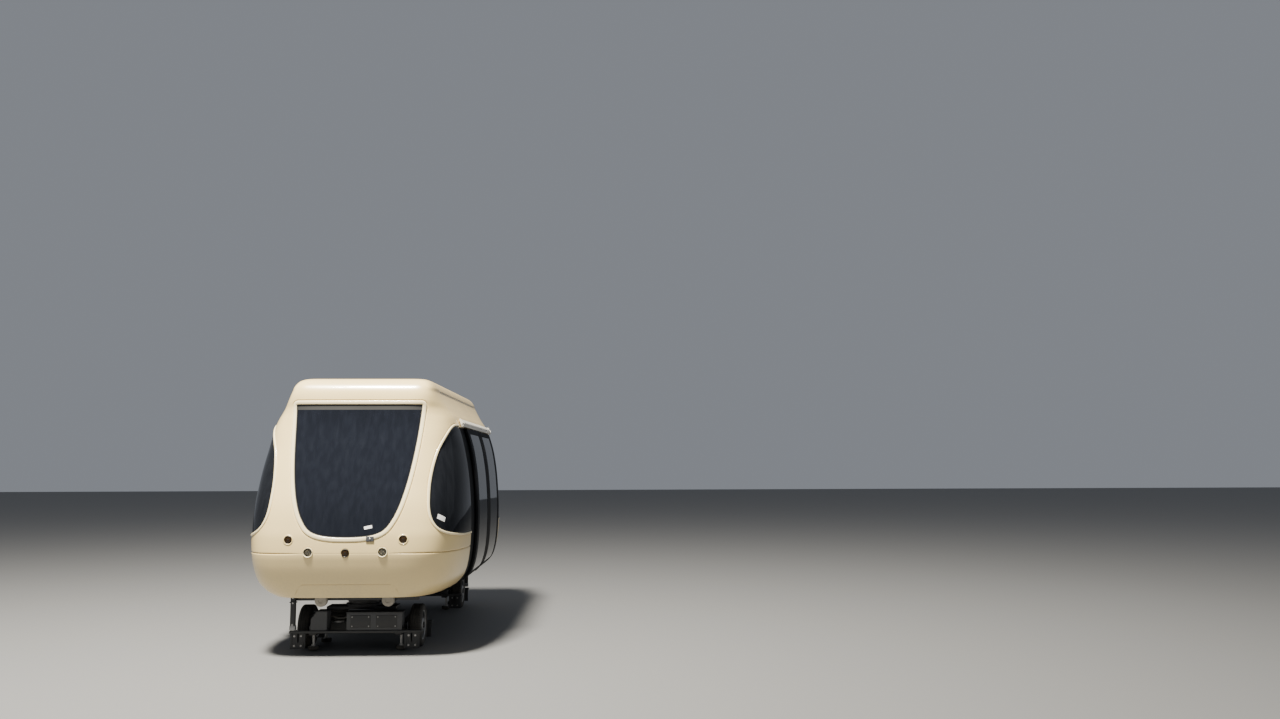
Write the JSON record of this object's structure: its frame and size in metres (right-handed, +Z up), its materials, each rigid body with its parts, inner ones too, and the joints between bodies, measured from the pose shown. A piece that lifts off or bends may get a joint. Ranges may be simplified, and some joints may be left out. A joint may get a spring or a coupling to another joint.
{
  "type": "cable-drawn people mover car",
  "caption": "Double-ended cabin car on rubber-tyred bogies, hauled by a rope grip, with glazed ends and sliding double doors.",
  "frame": {"origin": "on the ground, which is rail-top level, under the middle of the car", "axes": "+Z up; +Y along the track, with the pictured end facing -Y; +X to the right for someone looking along +Y"},
  "size_m": [2.71, 5.812, 3.368],
  "materials": {
    "body_paint": "smooth cream paint, semi-gloss",
    "light_trim": "pale satin paint",
    "door_frame": "near-black satin paint",
    "window_glass": "dark tinted safety glass",
    "chassis": "dark grey chassis paint, dusty",
    "equipment": "mid-grey housing paint",
    "tyre": "black rubber",
    "rim": "cast wheel, satin",
    "lamp_lens": "dark round lamp lenses in grey bezels",
    "floor_cover": "grey speckled floor covering",
    "seat": "blue-grey moulded seat",
    "pole_steel": "brushed stainless tube"
  },
  "bodies": {
    "car_body": {"roof": "body_paint", "floor": "floor_cover", "underframe": "chassis", "rope_grip": "equipment", "nose_mask_front": "body_paint", "bumper_front": "body_paint", "windscreen_front": "window_glass", "lamp_bar_front": "lamp_lens", "bench_front": "seat", "nose_mask_rear": "body_paint", "bumper_rear": "body_paint", "windscreen_rear": "window_glass", "lamp_bar_rear": "lamp_lens", "bench_rear": "seat", "side_window_front_left": "window_glass", "side_window_front_right": "window_glass", "side_window_rear_left": "window_glass", "side_window_rear_right": "window_glass", "door_portal_left": "door_frame", "eave_rail_left": "light_trim", "grab_rail_left": "pole_steel", "door_portal_right": "door_frame", "eave_rail_right": "light_trim", "grab_rail_right": "pole_steel"},
    "bogie_front": {"bogie_frame_front": "chassis"},
    "bogie_rear": {"bogie_frame_rear": "chassis"},
    "door_front_left": {"door_leaf_front_left": "door_frame", "door_glass_front_left": "window_glass"},
    "wheel_front_left": {"tyre_front_left": "tyre", "rim_front_left": "rim"},
    "guide_front_left_outer": {"guide_wheel_front_left_outer": "tyre"},
    "guide_front_left_inner": {"guide_wheel_front_left_inner": "tyre"},
    "door_front_right": {"door_leaf_front_right": "door_frame", "door_glass_front_right": "window_glass"},
    "wheel_front_right": {"tyre_front_right": "tyre", "rim_front_right": "rim"},
    "guide_front_right_outer": {"guide_wheel_front_right_outer": "tyre"},
    "guide_front_right_inner": {"guide_wheel_front_right_inner": "tyre"},
    "door_rear_left": {"door_leaf_rear_left": "door_frame", "door_glass_rear_left": "window_glass"},
    "wheel_rear_left": {"tyre_rear_left": "tyre", "rim_rear_left": "rim"},
    "guide_rear_left_outer": {"guide_wheel_rear_left_outer": "tyre"},
    "guide_rear_left_inner": {"guide_wheel_rear_left_inner": "tyre"},
    "door_rear_right": {"door_leaf_rear_right": "door_frame", "door_glass_rear_right": "window_glass"},
    "wheel_rear_right": {"tyre_rear_right": "tyre", "rim_rear_right": "rim"},
    "guide_rear_right_outer": {"guide_wheel_rear_right_outer": "tyre"},
    "guide_rear_right_inner": {"guide_wheel_rear_right_inner": "tyre"}
  },
  "joints": [
    {"name": "bogie_yaw_front", "type": "hinge", "parent": "car_body", "child": "bogie_front", "pos_m": [0, -1.85, 0.59], "axis": [0, 0, 1], "range_deg": [-8, 8]},
    {"name": "bogie_yaw_rear", "type": "hinge", "parent": "car_body", "child": "bogie_rear", "pos_m": [0, 1.85, 0.59], "axis": [0, 0, 1], "range_deg": [-8, 8]},
    {"name": "door_slide_front_left", "type": "slide", "parent": "car_body", "child": "door_front_left", "axis": [0, -1, 0], "range_m": [0, 1]},
    {"name": "wheel_spin_front_left", "type": "hinge", "parent": "bogie_front", "child": "wheel_front_left", "pos_m": [-0.68, -1.85, 0.26], "axis": [1, 0, 0], "continuous": true},
    {"name": "guide_spin_front_left_outer", "type": "hinge", "parent": "bogie_front", "child": "guide_front_left_outer", "pos_m": [-0.53, -2.15, 0.037], "axis": [0, 0, 1], "continuous": true},
    {"name": "guide_spin_front_left_inner", "type": "hinge", "parent": "bogie_front", "child": "guide_front_left_inner", "pos_m": [-0.53, -1.55, 0.037], "axis": [0, 0, 1], "continuous": true},
    {"name": "door_slide_front_right", "type": "slide", "parent": "car_body", "child": "door_front_right", "axis": [0, -1, 0], "range_m": [0, 1]},
    {"name": "wheel_spin_front_right", "type": "hinge", "parent": "bogie_front", "child": "wheel_front_right", "pos_m": [0.68, -1.85, 0.26], "axis": [1, 0, 0], "continuous": true},
    {"name": "guide_spin_front_right_outer", "type": "hinge", "parent": "bogie_front", "child": "guide_front_right_outer", "pos_m": [0.53, -2.15, 0.037], "axis": [0, 0, 1], "continuous": true},
    {"name": "guide_spin_front_right_inner", "type": "hinge", "parent": "bogie_front", "child": "guide_front_right_inner", "pos_m": [0.53, -1.55, 0.037], "axis": [0, 0, 1], "continuous": true},
    {"name": "door_slide_rear_left", "type": "slide", "parent": "car_body", "child": "door_rear_left", "axis": [0, 1, 0], "range_m": [0, 1]},
    {"name": "wheel_spin_rear_left", "type": "hinge", "parent": "bogie_rear", "child": "wheel_rear_left", "pos_m": [-0.68, 1.85, 0.26], "axis": [1, 0, 0], "continuous": true},
    {"name": "guide_spin_rear_left_outer", "type": "hinge", "parent": "bogie_rear", "child": "guide_rear_left_outer", "pos_m": [-0.53, 2.15, 0.037], "axis": [0, 0, 1], "continuous": true},
    {"name": "guide_spin_rear_left_inner", "type": "hinge", "parent": "bogie_rear", "child": "guide_rear_left_inner", "pos_m": [-0.53, 1.55, 0.037], "axis": [0, 0, 1], "continuous": true},
    {"name": "door_slide_rear_right", "type": "slide", "parent": "car_body", "child": "door_rear_right", "axis": [0, 1, 0], "range_m": [0, 1]},
    {"name": "wheel_spin_rear_right", "type": "hinge", "parent": "bogie_rear", "child": "wheel_rear_right", "pos_m": [0.68, 1.85, 0.26], "axis": [1, 0, 0], "continuous": true},
    {"name": "guide_spin_rear_right_outer", "type": "hinge", "parent": "bogie_rear", "child": "guide_rear_right_outer", "pos_m": [0.53, 2.15, 0.037], "axis": [0, 0, 1], "continuous": true},
    {"name": "guide_spin_rear_right_inner", "type": "hinge", "parent": "bogie_rear", "child": "guide_rear_right_inner", "pos_m": [0.53, 1.55, 0.037], "axis": [0, 0, 1], "continuous": true}
  ]
}
